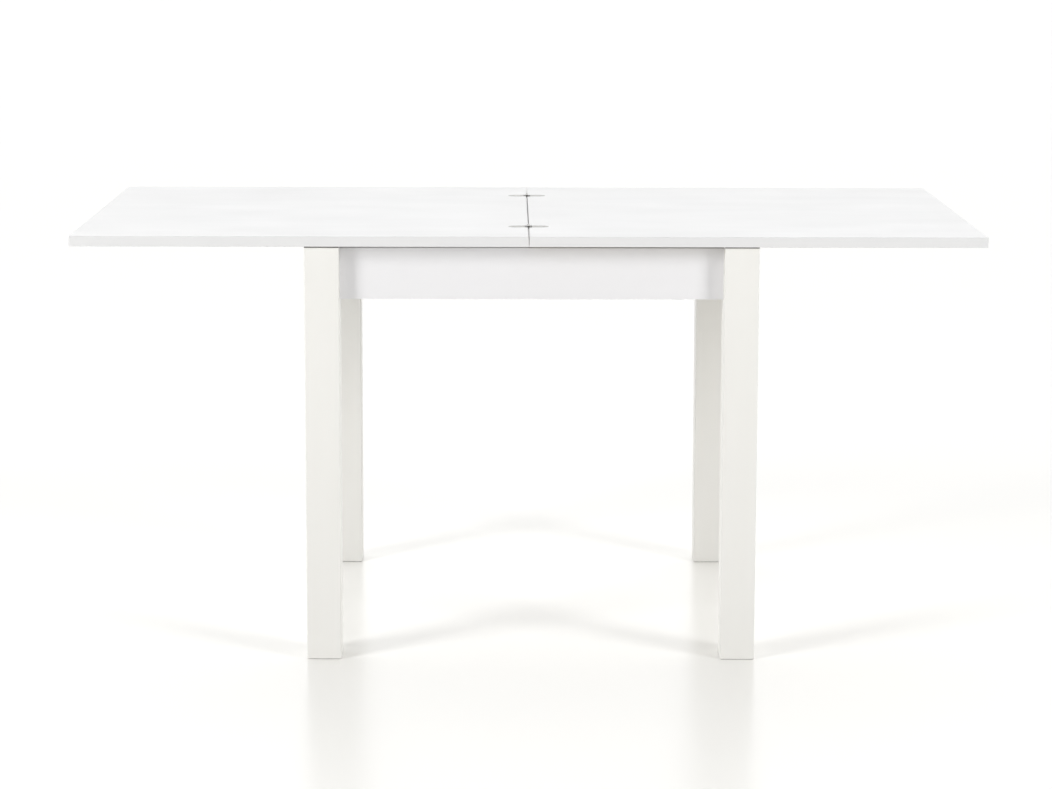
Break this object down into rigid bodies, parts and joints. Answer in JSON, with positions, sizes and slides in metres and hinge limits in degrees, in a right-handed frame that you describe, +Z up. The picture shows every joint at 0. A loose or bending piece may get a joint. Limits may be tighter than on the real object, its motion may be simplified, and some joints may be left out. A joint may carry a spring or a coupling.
{
  "type": "extendable dining table",
  "caption": "Square dining table whose hinged top slides half its width and unfolds to twice its length, on a frame of square legs and aprons.",
  "frame": {"origin": "on the floor, under the middle of the open top's seam", "axes": "+X along the open top towards the sliding leaf, +Y towards the rear, +Z up"},
  "size_m": [1.592, 0.8, 0.7571],
  "materials": {
    "leg_lacquer": "warm white satin lacquer",
    "apron_lacquer": "white satin lacquer",
    "leaf_board": "white satin board with a fine grain",
    "edging": "white satin edge band",
    "foot_plastic": "matt light grey",
    "felt": "dark grey felt",
    "bracket_steel": "zinc plated",
    "rail_steel": "zinc plated",
    "runner_steel": "zinc plated",
    "stop_rubber": "matt black",
    "nylon": "milky white",
    "hinge_metal": "brushed nickel",
    "hinge_pin_steel": "polished",
    "fastener_steel": "zinc plated"
  },
  "bodies": {
    "frame": {"leg_front_left": "leg_lacquer", "leg_front_right": "leg_lacquer", "leg_rear_left": "leg_lacquer", "leg_rear_right": "leg_lacquer", "foot_glide_front_left": "foot_plastic", "foot_glide_front_right": "foot_plastic", "foot_glide_rear_left": "foot_plastic", "foot_glide_rear_right": "foot_plastic", "felt_pad_front_left": "felt", "felt_pad_front_right": "felt", "felt_pad_rear_left": "felt", "felt_pad_rear_right": "felt", "corner_bracket_front_left": "bracket_steel", "corner_bracket_front_right": "bracket_steel", "corner_bracket_rear_left": "bracket_steel", "corner_bracket_rear_right": "bracket_steel", "apron_front": "apron_lacquer", "apron_rear": "apron_lacquer", "apron_left": "apron_lacquer", "apron_right": "apron_lacquer", "hanger_bolts": "fastener_steel", "bolt_washers": "fastener_steel", "bolt_nuts": "fastener_steel", "bracket_screws": "fastener_steel", "guide_rail_front": "rail_steel", "guide_rail_rear": "rail_steel", "rail_screws": "fastener_steel", "rail_stops": "stop_rubber"},
    "sliding_top": {"sliding_leaf": "leaf_board", "sliding_edging_front": "edging", "sliding_edging_rear": "edging", "sliding_edging_end": "edging", "sliding_edging_seam": "edging", "sliding_hinge_plate_front": "hinge_metal", "sliding_hinge_plate_rear": "hinge_metal", "sliding_hinge_screws": "hinge_metal", "hinge_pin_front": "hinge_pin_steel", "hinge_pin_rear": "hinge_pin_steel", "leaf_runner_front": "runner_steel", "leaf_runner_rear": "runner_steel", "runner_screws": "fastener_steel", "glide_blocks": "nylon", "glide_screws": "fastener_steel"},
    "flip_top": {"flip_leaf": "leaf_board", "flip_edging_front": "edging", "flip_edging_rear": "edging", "flip_edging_end": "edging", "flip_edging_seam": "edging", "flip_hinge_plate_front": "hinge_metal", "flip_hinge_plate_rear": "hinge_metal", "flip_hinge_screws": "hinge_metal"}
  },
  "joints": [
    {"name": "top_slide", "type": "slide", "parent": "frame", "child": "sliding_top", "axis": [-1, 0, 0], "range_m": [0, 0.393]},
    {"name": "leaf_fold", "type": "hinge", "parent": "sliding_top", "child": "flip_top", "pos_m": [0, 0, 0.7543], "axis": [0, 1, 0], "range_deg": [0, 180]}
  ]
}
